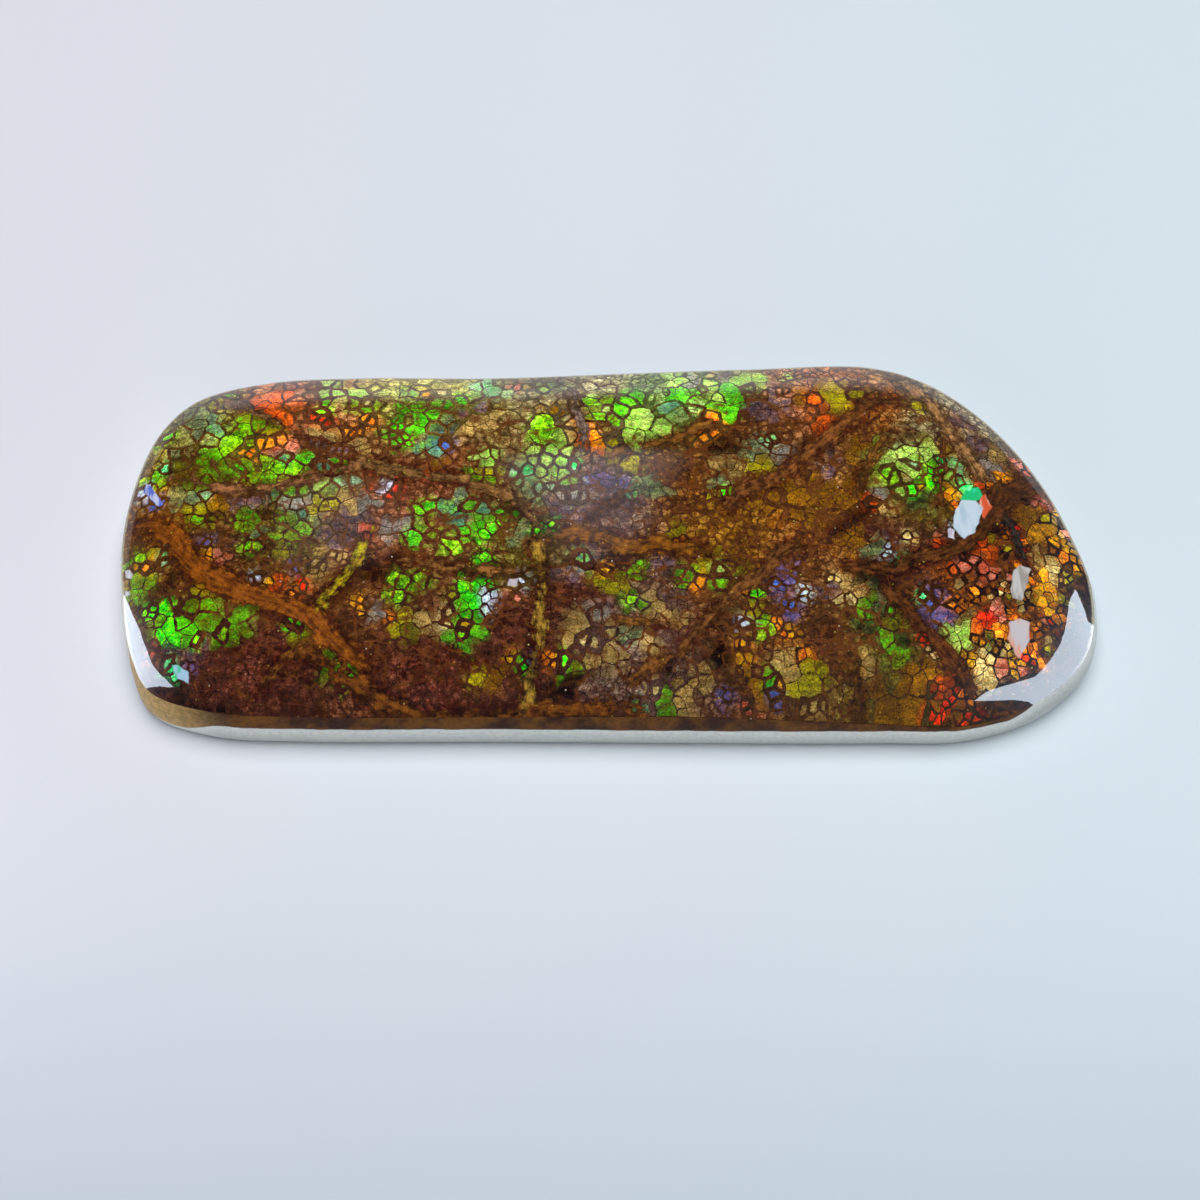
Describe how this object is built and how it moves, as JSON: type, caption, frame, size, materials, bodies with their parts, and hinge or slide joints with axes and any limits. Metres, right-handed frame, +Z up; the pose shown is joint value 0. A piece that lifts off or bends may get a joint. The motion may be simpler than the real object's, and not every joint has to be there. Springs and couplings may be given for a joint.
{
  "type": "ammolite specimen",
  "caption": "Freeform-polished slab of iridescent fossil ammonite shell: a long low dome with rounded corners, an even wall and a flat back to rest on.",
  "frame": {"origin": "middle of the flat back's bounding box, on the surface that the stone rests on", "axes": "+X along the stone's length towards its slanted end, +Y across it away from the straight edge, +Z up out of the polished dome"},
  "size_m": [0.0656, 0.0272, 0.0068],
  "materials": {
    "polished_shell": "gloss"
  },
  "bodies": {
    "root": {"ammolite_stone": "polished_shell"}
  },
  "joints": []
}
